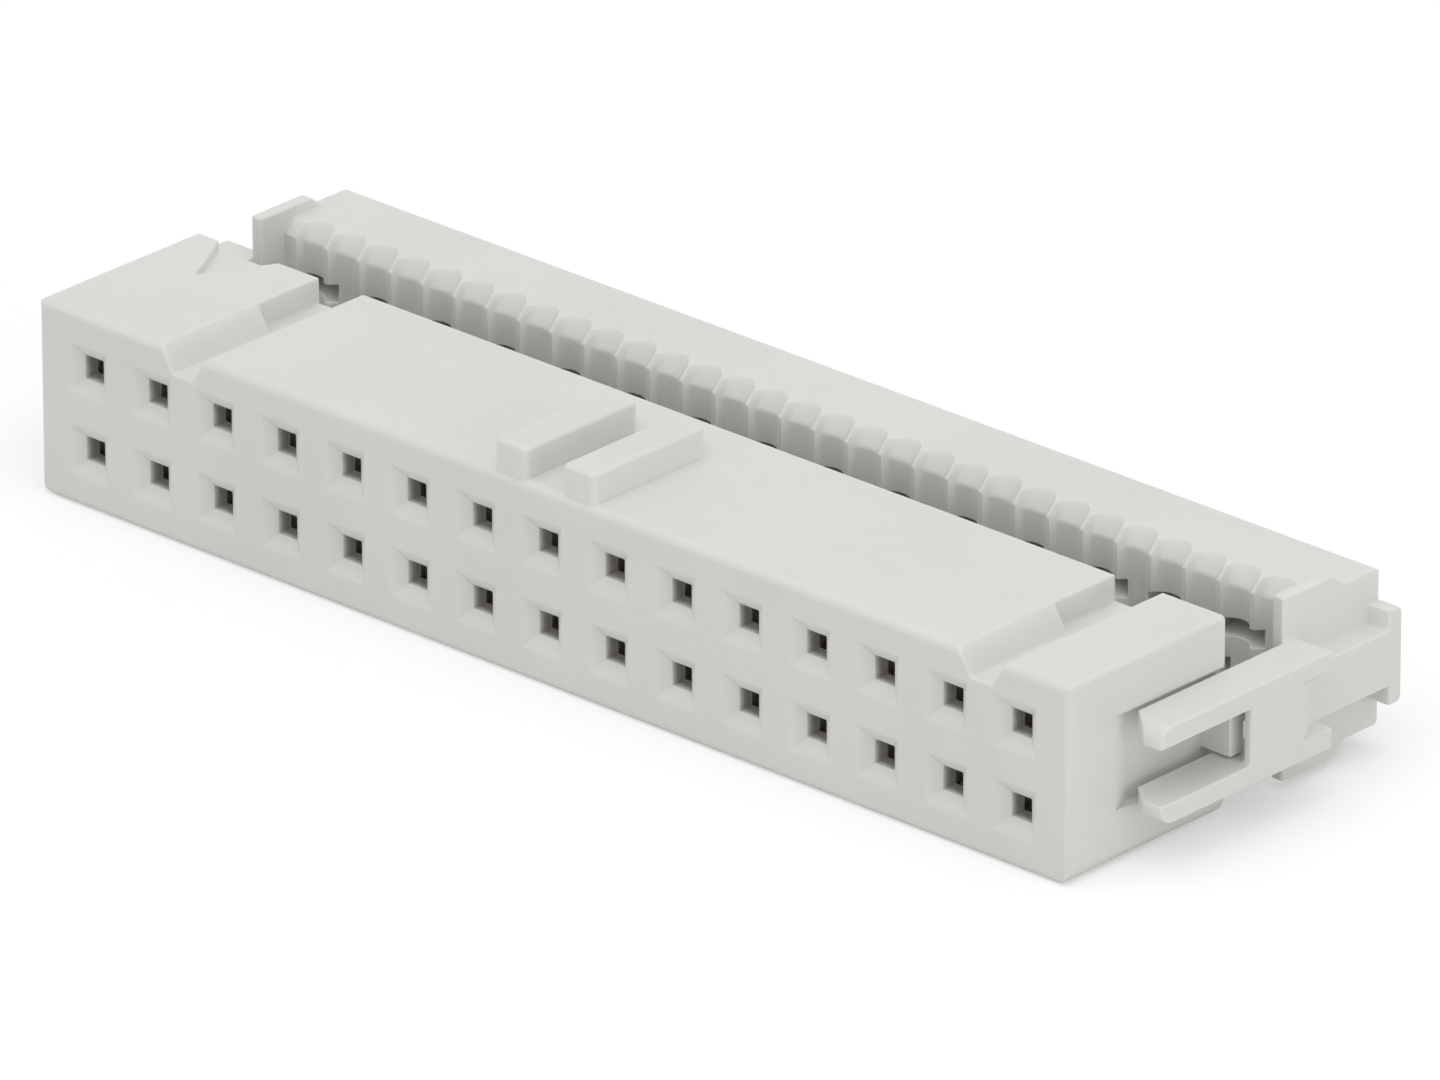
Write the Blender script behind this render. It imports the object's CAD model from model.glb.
import math

import bmesh
import bpy
from mathutils.geometry import intersect_point_line
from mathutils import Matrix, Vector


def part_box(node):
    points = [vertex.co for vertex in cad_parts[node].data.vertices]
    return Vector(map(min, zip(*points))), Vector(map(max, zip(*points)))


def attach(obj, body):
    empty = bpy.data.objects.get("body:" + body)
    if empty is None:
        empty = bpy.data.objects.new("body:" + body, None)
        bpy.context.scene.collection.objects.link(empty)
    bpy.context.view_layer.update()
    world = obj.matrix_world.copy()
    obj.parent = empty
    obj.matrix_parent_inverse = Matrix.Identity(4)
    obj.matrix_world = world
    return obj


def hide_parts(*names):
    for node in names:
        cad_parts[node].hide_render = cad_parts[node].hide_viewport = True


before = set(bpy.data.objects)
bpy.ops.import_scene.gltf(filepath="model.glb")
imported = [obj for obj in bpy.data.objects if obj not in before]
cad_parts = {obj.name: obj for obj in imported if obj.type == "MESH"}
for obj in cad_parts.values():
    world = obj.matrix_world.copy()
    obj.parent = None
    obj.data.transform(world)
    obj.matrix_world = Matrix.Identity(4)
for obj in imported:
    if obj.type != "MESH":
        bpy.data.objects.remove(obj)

mm = 0.001
xAxis, yAxis, zAxis = range(3)
scene = bpy.context.scene
scene.view_settings.view_transform = "Standard"
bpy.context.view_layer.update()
print("frame loaded:", len(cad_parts), "nodes")


def newGroup(name, inputs, outputs):
    group = bpy.data.node_groups.new(name, "ShaderNodeTree")
    for title, value in inputs.items():
        kind = "NodeSocketVector" if value is None else "NodeSocketFloat"
        socket = group.interface.new_socket(name=title, in_out="INPUT", socket_type=kind)
        if value is not None:
            socket.default_value = value
    for title in outputs:
        group.interface.new_socket(name=title, in_out="OUTPUT", socket_type="NodeSocketFloat")
    start = group.nodes.new("NodeGroupInput")
    end = group.nodes.new("NodeGroupOutput")
    return group, start.outputs, end.inputs


def addNode(tree, kind, **settings):
    node = tree.nodes.new(kind)
    for name, value in settings.items():
        setattr(node, name, value)
    return node


def noiseNode(tree, vector, scale, detail, roughness):
    node = addNode(tree, "ShaderNodeTexNoise")
    tree.links.new(vector, node.inputs["Vector"])
    for name, value in (("Scale", scale), ("Detail", detail), ("Roughness", roughness)):
        if isinstance(value, float):
            node.inputs[name].default_value = value
        else:
            tree.links.new(value, node.inputs[name])
    return node.outputs["Fac"]


def rangeNode(tree, value, fromLow, fromHigh, toLow, toHigh):
    node = addNode(tree, "ShaderNodeMapRange", clamp=True)
    tree.links.new(value, node.inputs["Value"])
    numbers = {"From Min": fromLow, "From Max": fromHigh, "To Min": toLow, "To Max": toHigh}
    for name, number in numbers.items():
        node.inputs[name].default_value = number
    return node.outputs["Result"]


def mathNode(tree, operation, first, second):
    node = addNode(tree, "ShaderNodeMath", operation=operation)
    for slot, value in zip(node.inputs, (first, second)):
        if isinstance(value, float):
            slot.default_value = value
        else:
            tree.links.new(value, slot)
    return node.outputs["Value"]


mixSlots = {"factor": 0, "low": 6, "high": 7, "result": 2}  # where a mix node keeps its colours


def mixColours(tree, factor, low, high):
    node = addNode(tree, "ShaderNodeMix", data_type="RGBA")
    tree.links.new(factor, node.inputs[mixSlots["factor"]])
    for name, value in (("low", low), ("high", high)):
        slot = node.inputs[mixSlots[name]]
        if isinstance(value, tuple):
            slot.default_value = (*value, 1.0)
        else:
            tree.links.new(value, slot)
    return node.outputs[mixSlots["result"]]


def placeGroup(tree, group, vector, **values):
    node = addNode(tree, "ShaderNodeGroup", node_tree=group)
    tree.links.new(vector, node.inputs["Vector"])
    for name, value in values.items():
        node.inputs[name].default_value = value
    return node.outputs


grainNoise = {
    "inputs": {"Vector": None, "Scale": 9000.0, "Coarse": 0.35},
    "fine": (3.0, 0.6),  # detail and roughness
    "coarse": (2.0, 0.5),
    "patchSpread": (0.35, 0.65),
}


def surfaceGrain():  # fine pits of a spark-eroded tool face, or of a rolled strip
    group, given, put = newGroup("surfaceGrain", grainNoise["inputs"], ("Height", "Patch"))
    fine = noiseNode(group, given["Vector"], given["Scale"], *grainNoise["fine"])
    coarseScale = mathNode(group, "MULTIPLY", given["Scale"], given["Coarse"])
    coarse = noiseNode(group, given["Vector"], coarseScale, *grainNoise["coarse"])
    group.links.new(mathNode(group, "ADD", fine, coarse), put["Height"])
    patch = rangeNode(group, coarse, *grainNoise["patchSpread"], 0.0, 1.0)
    group.links.new(patch, put["Patch"])
    return group


driftNoise = {
    "inputs": {"Vector": None, "Scale": 120.0},
    "cloud": (3.0, 0.55),  # detail and roughness
    "streak": (4.0, 0.6),
    "spread": (0.3, 0.7),
    "squeeze": (0.12, 1.0, 1.6),  # streaks run along the length
}


def toneDrift():  # slow cloudy drift of tone over a piece
    group, given, put = newGroup("toneDrift", driftNoise["inputs"], ("Cloud", "Streak"))
    cloud = noiseNode(group, given["Vector"], given["Scale"], *driftNoise["cloud"])
    group.links.new(rangeNode(group, cloud, *driftNoise["spread"], 0.0, 1.0), put["Cloud"])
    squeeze = addNode(group, "ShaderNodeMapping")
    squeeze.inputs["Scale"].default_value = driftNoise["squeeze"]
    group.links.new(given["Vector"], squeeze.inputs["Vector"])
    streak = noiseNode(group, squeeze.outputs["Vector"], given["Scale"], *driftNoise["streak"])
    group.links.new(rangeNode(group, streak, *driftNoise["spread"], 0.0, 1.0), put["Streak"])
    return group


grainGroup = surfaceGrain()
driftGroup = toneDrift()
print("shared shader groups ready")


def newMaterial(name):
    material = bpy.data.materials.new(name)
    material.use_nodes = True
    tree = material.node_tree
    shader = tree.nodes["Principled BSDF"]
    coords = addNode(tree, "ShaderNodeTexCoord").outputs["Object"]
    return material, tree, shader, coords


def bumpNode(tree, height, strength, distance):
    node = addNode(tree, "ShaderNodeBump")
    node.inputs["Strength"].default_value = strength
    node.inputs["Distance"].default_value = distance
    tree.links.new(height, node.inputs["Height"])
    return node.outputs["Normal"]


plasticLook = {
    "pale": (0.8, 0.8, 0.772),
    "deep": (0.75, 0.755, 0.722),
    "warm": (0.785, 0.77, 0.727),
    "warmMost": 0.3,
    "roughLow": 0.42,
    "roughHigh": 0.56,
    "grainScale": 9000.0,
    "grainCoarse": 0.3,
    "driftScale": 130.0,
    "bumpStrength": 0.12,
    "bumpDepth": 0.012 * mm,
    "refraction": 1.5,
    "scatter": 0.35,
    "scatterReach": 0.25 * mm,
    "scatterTint": (1.0, 0.95, 0.85),
    "inHoles": (0.41, 0.4, 0.365),
    "holeZone": (  # axis, start and end of a ramp in mm, shares at both
        ("Y", -6.13, -5.95, 0.0, 1.0), ("Y", -5.75, -5.65, 1.0, 0.0),
        ("X", -19.0, -18.8, 0.0, 1.0), ("X", 18.8, 19.0, 1.0, 0.0),
        ("Z", 0.7, 0.9, 0.0, 1.0), ("Z", 5.1, 5.2, 1.0, 0.0),
    ),
}


def zoneShare(tree, coords, zone):
    place = addNode(tree, "ShaderNodeSeparateXYZ")
    tree.links.new(coords, place.inputs["Vector"])
    share = 1.0
    for axis, start, end, low, high in zone:
        ramp = rangeNode(tree, place.outputs[axis], start * mm, end * mm, low, high)
        share = mathNode(tree, "MULTIPLY", share, ramp)
    return share


def greyMoulding():
    look = plasticLook
    material, tree, shader, coords = newMaterial("greyMoulding")
    grain = placeGroup(tree, grainGroup, coords, Scale=look["grainScale"],
                       Coarse=look["grainCoarse"])
    drift = placeGroup(tree, driftGroup, coords, Scale=look["driftScale"])
    clouded = mixColours(tree, drift["Cloud"], look["deep"], look["pale"])
    warmShare = rangeNode(tree, drift["Streak"], 0.0, 1.0, 0.0, look["warmMost"])
    warmed = mixColours(tree, warmShare, clouded, look["warm"])
    holeShare = zoneShare(tree, coords, look["holeZone"])
    colour = mixColours(tree, holeShare, warmed, look["inHoles"])
    tree.links.new(colour, shader.inputs["Base Color"])
    rough = rangeNode(tree, grain["Patch"], 0.0, 1.0, look["roughLow"], look["roughHigh"])
    tree.links.new(rough, shader.inputs["Roughness"])
    pits = bumpNode(tree, grain["Height"], look["bumpStrength"], look["bumpDepth"])
    tree.links.new(pits, shader.inputs["Normal"])
    shader.inputs["IOR"].default_value = look["refraction"]
    shader.inputs["Subsurface Weight"].default_value = look["scatter"]
    shader.inputs["Subsurface Radius"].default_value = look["scatterTint"]
    shader.inputs["Subsurface Scale"].default_value = look["scatterReach"]
    return material


stripLook = {
    "tin": (0.62, 0.61, 0.58),
    "tinDull": (0.5, 0.49, 0.46),
    "gold": (0.74, 0.56, 0.27),
    "goldDull": (0.6, 0.43, 0.2),
    "platingStart": -3.4 * mm,
    "platingEnd": -2.4 * mm,
    "roughLow": 0.26,
    "roughHigh": 0.44,
    "rollStretch": (1.0, 0.06, 1.0),  # rolling marks run along the strip
    "grainScale": 16000.0,
    "grainCoarse": 0.4,
    "driftScale": 900.0,
    "bumpStrength": 0.2,
    "bumpDepth": 0.006 * mm,
}


def platedStrip():
    look = stripLook
    material, tree, shader, coords = newMaterial("platedStrip")
    rolled = addNode(tree, "ShaderNodeMapping")
    rolled.inputs["Scale"].default_value = look["rollStretch"]
    tree.links.new(coords, rolled.inputs["Vector"])
    grain = placeGroup(tree, grainGroup, rolled.outputs["Vector"], Scale=look["grainScale"],
                       Coarse=look["grainCoarse"])
    drift = placeGroup(tree, driftGroup, coords, Scale=look["driftScale"])
    tin = mixColours(tree, drift["Cloud"], look["tinDull"], look["tin"])
    gold = mixColours(tree, drift["Cloud"], look["goldDull"], look["gold"])
    depth = addNode(tree, "ShaderNodeSeparateXYZ")
    tree.links.new(coords, depth.inputs["Vector"])
    tinShare = rangeNode(tree, depth.outputs["Y"], look["platingStart"], look["platingEnd"],
                         0.0, 1.0)
    tree.links.new(mixColours(tree, tinShare, gold, tin), shader.inputs["Base Color"])
    rough = rangeNode(tree, grain["Patch"], 0.0, 1.0, look["roughLow"], look["roughHigh"])
    tree.links.new(rough, shader.inputs["Roughness"])
    pits = bumpNode(tree, grain["Height"], look["bumpStrength"], look["bumpDepth"])
    tree.links.new(pits, shader.inputs["Normal"])
    shader.inputs["Metallic"].default_value = 1.0
    return material


moulding = greyMoulding()
plating = platedStrip()
print("materials ready")


def mergedCopy(nodeName, gap, flat):
    bm = bmesh.new()
    bm.from_mesh(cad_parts[nodeName].data)
    bmesh.ops.remove_doubles(bm, verts=bm.verts, dist=gap)
    bmesh.ops.dissolve_limit(bm, angle_limit=flat, use_dissolve_boundaries=False,
                             verts=bm.verts, edges=bm.edges, delimit={"NORMAL"})
    return bm


def onPlane(edge, axis, level, gap=0.004 * mm):
    return all(abs(v.co[axis] - level) < gap for v in edge.verts)


def edgeRuns(sharp, turn):  # sharp edges that follow on from each other share a run number
    runs = {}
    for number, first in enumerate(sharp):
        waiting = [] if first in runs else [first]
        while waiting:
            edge = waiting.pop()
            runs[edge] = number
            for v in edge.verts:
                away = (v.co - edge.other_vert(v).co).normalized()
                for other in v.link_edges:
                    if other in sharp and other not in runs:
                        if away.dot((other.other_vert(v).co - v.co).normalized()) > turn:
                            waiting.append(other)
    return runs


def pointGap(point, edge):
    a, b = (v.co for v in edge.verts)
    share = intersect_point_line(point, a, b)[1]
    return (point - a.lerp(b, min(max(share, 0.0), 1.0))).length


roomLook = {
    "most": 1.0,
    "shared": 0.5,  # two roundings meet halfway
    "bend": 0.02,  # an edge flatter than this is no bar
}


def roomBeside(edge, runs):  # how far a rounding can reach over the two faces
    room = roomLook["most"]
    for face in edge.link_faces:
        lengths = {}
        for other in face.edges:
            if other in runs:
                lengths[runs[other]] = lengths.get(runs[other], 0.0) + other.calc_length()
        for other in face.edges:
            if other is edge or runs.get(other, -1) == runs[edge]:
                continue
            if set(edge.verts) & set(other.verts):
                if other in runs:
                    room = min(room, roomLook["shared"] * lengths[runs[other]])
                elif other.calc_face_angle(0.0) > roomLook["bend"]:
                    room = min(room, other.calc_length())
                continue
            gaps = [pointGap(v.co, edge) for v in other.verts]
            gaps += [pointGap(v.co, other) for v in edge.verts]
            room = min(room, min(gaps) * (roomLook["shared"] if other in runs else 1.0))
    return room


def softened(pieceName, look, material, rimOf, reshape=None):
    bm = mergedCopy(look["node"], look["mergeGap"], look["flatAngle"])
    if reshape:
        reshape(bm)
    weights = bm.edges.layers.float.new("bevel_weight_edge")
    sharp = {}
    for edge in bm.edges:
        if not edge.is_manifold or edge.calc_face_angle(0.0) < look["sharpAngle"]:
            continue
        rim = rimOf(edge, look)
        if rim:
            sharp[edge] = rim
        else:
            edge.smooth = False  # shaded as a crease
    runs = edgeRuns(sharp, look["followOn"])
    widths = {}
    for edge, rim in sharp.items():
        width = min(rim, look["roomShare"] * roomBeside(edge, runs))
        widths[runs[edge]] = min(width, widths.get(runs[edge], width))
    for edge in sharp:
        edge[weights] = widths[runs[edge]] / look["widest"]
    mesh = bpy.data.meshes.new(pieceName)
    bm.to_mesh(mesh)
    bm.free()
    mesh.shade_smooth()
    piece = bpy.data.objects.new(pieceName, mesh)
    scene.collection.objects.link(piece)
    rounding = piece.modifiers.new("edgeRounding", "BEVEL")
    rounding.width = look["widest"]
    rounding.segments = look["segments"]
    rounding.limit_method = "WEIGHT"
    rounding.offset_type = "OFFSET"
    rounding.use_clamp_overlap = False
    rounding.profile = 0.5
    rounding.material = -1
    piece.modifiers.new("evenShading", "WEIGHTED_NORMAL").keep_sharp = True
    mesh.materials.append(material)
    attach(piece, look["body"])
    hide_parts(look["node"])
    return len(sharp)


housingLook = {
    "node": "housing",
    "body": "socket",
    "slot": "moulding",
    "mergeGap": 0.001 * mm,
    "flatAngle": math.radians(0.5),
    "sharpAngle": math.radians(33),
    "followOn": 0.8,
    "widest": 0.16 * mm,
    "rim": 0.07 * mm,
    "faceRim": 0.06 * mm,
    "mouthRim": 0.03 * mm,
    "holeRim": 0.02 * mm,
    "mouthDepth": 0.28 * mm,
    "holeDepth": 0.35 * mm,
    "wallDepth": 0.95 * mm,
    "mouthTop": 5.1 * mm,
    "channelRim": 0.13 * mm,
    "keyRim": 0.13 * mm,
    "keyFoot": 6.1 * mm,
    "cornerReach": 0.5 * mm,
    "endFace": 19.71 * mm,
    "segments": 3,
    "roomShare": 0.8,
}
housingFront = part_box("housing")[0].y

grooveLook = {
    "centres": (-13.97 * mm, 16.51 * mm),
    "topHalf": 0.875 * mm,
    "floorHalf": 0.375 * mm,
    "top": 6.03 * mm,
    "depth": 0.6 * mm,
    "newDepth": 0.8 * mm,
    "frontRound": 0.26 * mm,
    "gap": 0.005 * mm,
    "rim": 0.1 * mm,
}


def nearestGroove(x):
    return min(grooveLook["centres"], key=lambda centre: abs(x - centre))


def deepGrooves(bm):  # the two top grooves run deeper than in the frame
    look = grooveLook
    for v in bm.verts:
        away = v.co.x - nearestGroove(v.co.x)
        depth = look["top"] - v.co.z
        inWidth = abs(away) <= look["topHalf"] + look["gap"]
        inDepth = look["gap"] < depth < look["depth"] + look["gap"]
        if not (inWidth and inDepth):
            continue
        if depth > look["depth"] - look["gap"]:
            v.co.z = look["top"] - look["newDepth"]
        elif v.co.y - housingFront < look["frontRound"]:  # the notch's corner stays on the slope
            lean = (look["topHalf"] - look["floorHalf"]) / look["newDepth"]
            v.co.x += math.copysign(look["topHalf"] - lean * depth, away) - away


catchLook = {
    "nose": 20.56 * mm,
    "flatEnd": -0.455 * mm,
    "newFlatEnd": -0.135 * mm,
    "gap": 0.005 * mm,
}


def longCatches(bm):  # the flat top of each catch runs further back than in the frame
    look = catchLook
    for v in bm.verts:
        atNose = abs(abs(v.co.x) - look["nose"]) < look["gap"]
        if atNose and abs(v.co.y - look["flatEnd"]) < look["gap"]:
            v.co.y = look["newFlatEnd"]


def housingShape(bm):
    deepGrooves(bm)
    longCatches(bm)


def housingRim(edge, look):
    middle = (edge.verts[0].co + edge.verts[1].co) / 2
    ahead = middle.y - housingFront
    if ahead < look["cornerReach"] and look["endFace"] - abs(middle.x) < look["cornerReach"]:
        return 0.0  # the corners of the mating face are round already
    if onPlane(edge, yAxis, housingFront):
        return look["faceRim"]
    if ahead < look["mouthDepth"] and middle.z < look["mouthTop"]:
        return look["mouthRim"]  # the four creases of a lead-in
    if ahead < look["wallDepth"] and middle.z < look["mouthTop"]:  # a hole, then its far end
        return look["holeRim"] if ahead < look["holeDepth"] else 0.0
    if middle.z > look["keyFoot"]:
        return look["keyRim"]
    if onPlane(edge, xAxis, math.copysign(look["endFace"], middle.x)):
        return look["channelRim"]
    centre = nearestGroove(middle.x)
    grooveEdge = centre + math.copysign(grooveLook["topHalf"], middle.x - centre)
    if onPlane(edge, zAxis, grooveLook["top"]) and onPlane(edge, xAxis, grooveEdge):
        return grooveLook["rim"]
    return look["rim"]


coverLook = {
    "node": "cover",
    "body": "press_cover",
    "slot": "moulding",
    "mergeGap": 0.001 * mm,
    "flatAngle": math.radians(0.5),
    "sharpAngle": math.radians(33),
    "followOn": 0.8,
    "widest": 0.12 * mm,
    "rim": 0.08 * mm,
    "slotFront": 3.5 * mm,
    "slotBack": 4.65 * mm,
    "footBend": {yAxis: 4.435 * mm, zAxis: 0.225 * mm},
    "segments": 3,
    "roomShare": 0.8,
}


def coverRim(edge, look):
    a, b = (v.co for v in edge.verts)
    inSlot = all(look["slotFront"] < end.y < look["slotBack"] for end in (a, b))
    if inSlot and abs(a.x - b.x) + abs(a.z - b.z) < look["mergeGap"]:
        return 0.0  # the inner corners of the fork slots stay sharp
    if all(onPlane(edge, axis, level) for axis, level in look["footBend"].items()):
        return 0.0  # a shallow bend under each foot
    return look["rim"]


count = softened("socketHousing", housingLook, moulding, housingRim, housingShape)
print("socket housing, rounded edges:", count)
count = softened("cableCover", coverLook, moulding, coverRim)
print("cable cover, rounded edges:", count)

stripEdges = {
    "body": "socket",
    "slot": "contact",
    "mergeGap": 0.001 * mm,
    "flatAngle": math.radians(0.5),
    "sharpAngle": math.radians(33),
    "followOn": 0.8,
    "widest": 0.04 * mm,
    "rim": 0.03 * mm,
    "bladeStart": -0.7 * mm,
    "segments": 2,
    "roomShare": 0.8,
}


def stripRim(edge, look):
    return look["rim"] if all(v.co.y > look["bladeStart"] for v in edge.verts) else 0.0


contactNames = [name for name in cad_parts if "_contact_" in name]
for name in contactNames:
    row, number = name.split("_contact_")
    softened(row + "Strip" + number, {**stripEdges, "node": name}, plating, stripRim)
print("contact strips:", len(contactNames))


stageLook = {
    "floorReach": 3.0,
    "floorDrop": 0.01 * mm,
    "floorColour": (0.8, 0.8, 0.8, 1.0),
    "skyColour": (1.0, 1.0, 1.0, 1.0),
    "floorLift": 0.32,
    "skyLevel": 0.63,
    "lamps": {
        "softKey": {"place": (0.06, -0.12, 0.42), "size": 0.6, "power": 0.68},
        "lowFill": {"place": (0.42, -0.02, 0.03), "size": 0.25, "power": 0.25},
    },
}


def seenDirectly(tree):
    path = addNode(tree, "ShaderNodeLightPath").outputs
    either = mathNode(tree, "MAXIMUM", path["Is Camera Ray"], path["Is Glossy Ray"])
    return mathNode(tree, "MAXIMUM", either, path["Is Transmission Ray"])


def paleFloor():
    bm = bmesh.new()
    bmesh.ops.create_grid(bm, x_segments=1, y_segments=1, size=stageLook["floorReach"])
    bmesh.ops.translate(bm, verts=bm.verts, vec=(0, 0, -stageLook["floorDrop"]))
    mesh = bpy.data.meshes.new("studioFloor")
    bm.to_mesh(mesh)
    bm.free()
    floor = bpy.data.objects.new("studioFloor", mesh)
    scene.collection.objects.link(floor)
    material = bpy.data.materials.new("paleFloor")
    material.use_nodes = True
    tree = material.node_tree
    tree.nodes.clear()
    matte = addNode(tree, "ShaderNodeBsdfDiffuse")
    matte.inputs["Color"].default_value = stageLook["floorColour"]
    glow = addNode(tree, "ShaderNodeEmission")
    lift = mathNode(tree, "MULTIPLY", seenDirectly(tree), stageLook["floorLift"])
    tree.links.new(lift, glow.inputs["Strength"])
    both = addNode(tree, "ShaderNodeAddShader")
    tree.links.new(matte.outputs[0], both.inputs[0])
    tree.links.new(glow.outputs[0], both.inputs[1])
    end = addNode(tree, "ShaderNodeOutputMaterial")
    tree.links.new(both.outputs[0], end.inputs["Surface"])
    mesh.materials.append(material)


def whiteRoom():
    world = bpy.data.worlds.new("whiteRoom")
    scene.world = world
    world.use_nodes = True
    tree = world.node_tree
    background = tree.nodes["Background"]
    background.inputs["Color"].default_value = stageLook["skyColour"]
    level = rangeNode(tree, seenDirectly(tree), 0.0, 1.0, stageLook["skyLevel"], 1.0)
    tree.links.new(level, background.inputs["Strength"])


def studioLamps():
    for name, look in stageLook["lamps"].items():
        lamp = bpy.data.lights.new(name, "AREA")
        lamp.shape = "DISK"
        lamp.size = look["size"]
        lamp.energy = look["power"]
        holder = bpy.data.objects.new(name, lamp)
        holder.location = look["place"]
        holder.rotation_euler = (-holder.location).to_track_quat("-Z", "Y").to_euler()
        scene.collection.objects.link(holder)


cameraLook = {
    "place": (0.324135, -0.348534, 0.216390),
    "turn": (65.78356, 0.118388, 42.79799),  # degrees
    "lens": 462.96,
    "sensor": 36.0,
    "nearest": 0.01,
}


def photoCamera():
    data = bpy.data.cameras.new("photoCamera")
    data.sensor_fit = "HORIZONTAL"
    data.sensor_width = cameraLook["sensor"]
    data.lens = cameraLook["lens"]
    data.clip_start = cameraLook["nearest"]
    camera = bpy.data.objects.new("photoCamera", data)
    camera.location = cameraLook["place"]
    camera.rotation_euler = [math.radians(v) for v in cameraLook["turn"]]
    scene.collection.objects.link(camera)
    scene.camera = camera


paleFloor()
whiteRoom()
studioLamps()
photoCamera()
print("stage, lamps and camera set")

print("size written")
